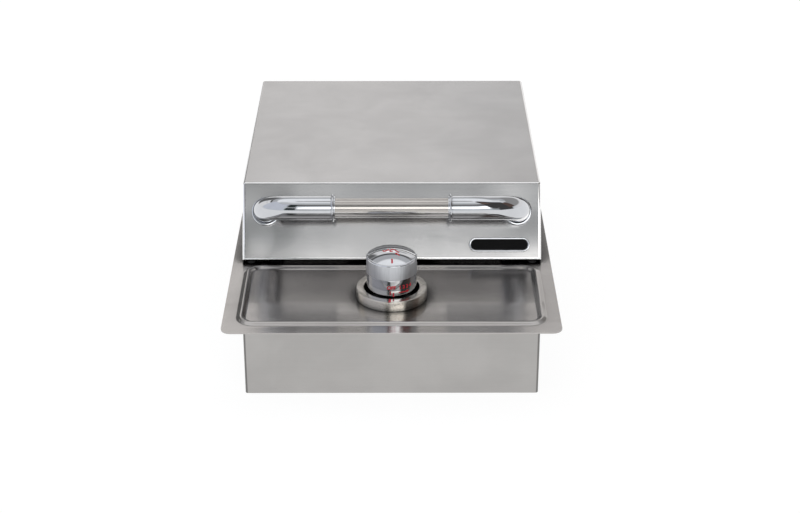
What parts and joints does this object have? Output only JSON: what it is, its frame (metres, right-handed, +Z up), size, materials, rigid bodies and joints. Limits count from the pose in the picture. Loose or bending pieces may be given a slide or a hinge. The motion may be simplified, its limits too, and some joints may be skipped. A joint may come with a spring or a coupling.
{
  "type": "built-in side burner",
  "caption": "Drop-in gas side burner with a pressed steel deck, a push-and-turn knob, a hinged lid with a tube handle, and a covered burner and pot grate in a steel box.",
  "frame": {"origin": "centre of the footprint, at the underside of the box", "axes": "+Z up, +X to the right of someone standing at the knob, +Y from the knob towards the lid hinge"},
  "size_m": [0.337, 0.53, 0.1622],
  "materials": {
    "deck_steel": "brushed",
    "box_steel": "brushed",
    "lid_steel": "brushed",
    "chrome": "polished",
    "satin_steel": "satin",
    "turned_steel": "turned",
    "plated_steel": "zinc plated",
    "black_enamel": "gloss enamel",
    "cast_iron": "matte enamel",
    "cast_aluminium": "as cast",
    "brass": "machined",
    "rubber": "matte",
    "black_plastic": "moulded",
    "nylon": "moulded",
    "ceramic": "glazed",
    "lead_sleeve": "silicone sleeve",
    "pipe_aluminium": "drawn"
  },
  "bodies": {
    "frame": {"top_deck": "deck_steel", "box_shell": "box_steel", "box_back": "box_steel", "box_bottom": "box_steel", "burner_bowl": "deck_steel", "heat_baffle": "plated_steel", "burner_base": "cast_aluminium", "burner_head": "brass", "burner_cap": "black_enamel", "burner_screw_left": "plated_steel", "burner_screw_right": "plated_steel", "pot_grate": "cast_iron", "valve_body": "brass", "valve_bonnet": "plated_steel", "valve_bracket": "plated_steel", "valve_screw_left": "plated_steel", "valve_screw_right": "plated_steel", "stem_spring": "plated_steel", "stem_grommet": "rubber", "gas_jet": "brass", "gas_pipe": "pipe_aluminium", "flare_nut": "brass", "inlet_fitting": "brass", "inlet_locknut": "plated_steel", "spark_unit": "black_plastic", "spark_lead": "lead_sleeve", "spark_electrode": "ceramic", "electrode_tip": "plated_steel", "knob_ring": "turned_steel", "ring_screw_left": "plated_steel", "ring_screw_right": "plated_steel", "hinge_bracket_left": "plated_steel", "hinge_bracket_right": "plated_steel", "hinge_pin_left": "chrome", "hinge_pin_right": "chrome", "hinge_nut_left": "plated_steel", "hinge_nut_right": "plated_steel", "hinge_washer_left": "nylon", "hinge_washer_right": "nylon", "lid_bumper_left": "rubber", "lid_bumper_right": "rubber", "stop_pad_left": "rubber", "stop_pad_right": "rubber"},
    "lid": {"lid_shell": "lid_steel", "handle_tube": "satin_steel", "handle_elbow_left": "chrome", "handle_elbow_right": "chrome", "handle_ring_left": "chrome", "handle_ring_right": "chrome", "handle_bolt_left": "plated_steel", "handle_bolt_right": "plated_steel", "badge_plate": "chrome", "badge_inlay": "black_enamel"},
    "plug": {"valve_plug": "brass"},
    "knob": {"valve_stem": "plated_steel", "knob_shell": "chrome", "knob_hub": "black_plastic"},
    "shutter": {"air_shutter": "plated_steel"}
  },
  "joints": [
    {"name": "lid_hinge", "type": "hinge", "parent": "frame", "child": "lid", "pos_m": [0, 0.225, 0.102], "axis": [-1, 0, 0], "range_deg": [0, 90]},
    {"name": "valve_turn", "type": "hinge", "parent": "frame", "child": "plug", "pos_m": [0, -0.185, 0.035], "axis": [0, 0, 1], "range_deg": [0, 225]},
    {"name": "knob_push", "type": "slide", "parent": "plug", "child": "knob", "axis": [0, 0, -1], "range_m": [0, 0.004], "stiffness_N_per_m": 800, "springref_m": -0.006, "deforming": ["stem_spring"]},
    {"name": "air_shutter_turn", "type": "hinge", "parent": "frame", "child": "shutter", "pos_m": [0, -0.1395, 0.035], "axis": [0, 1, 0], "range_deg": [0, 60]}
  ]
}
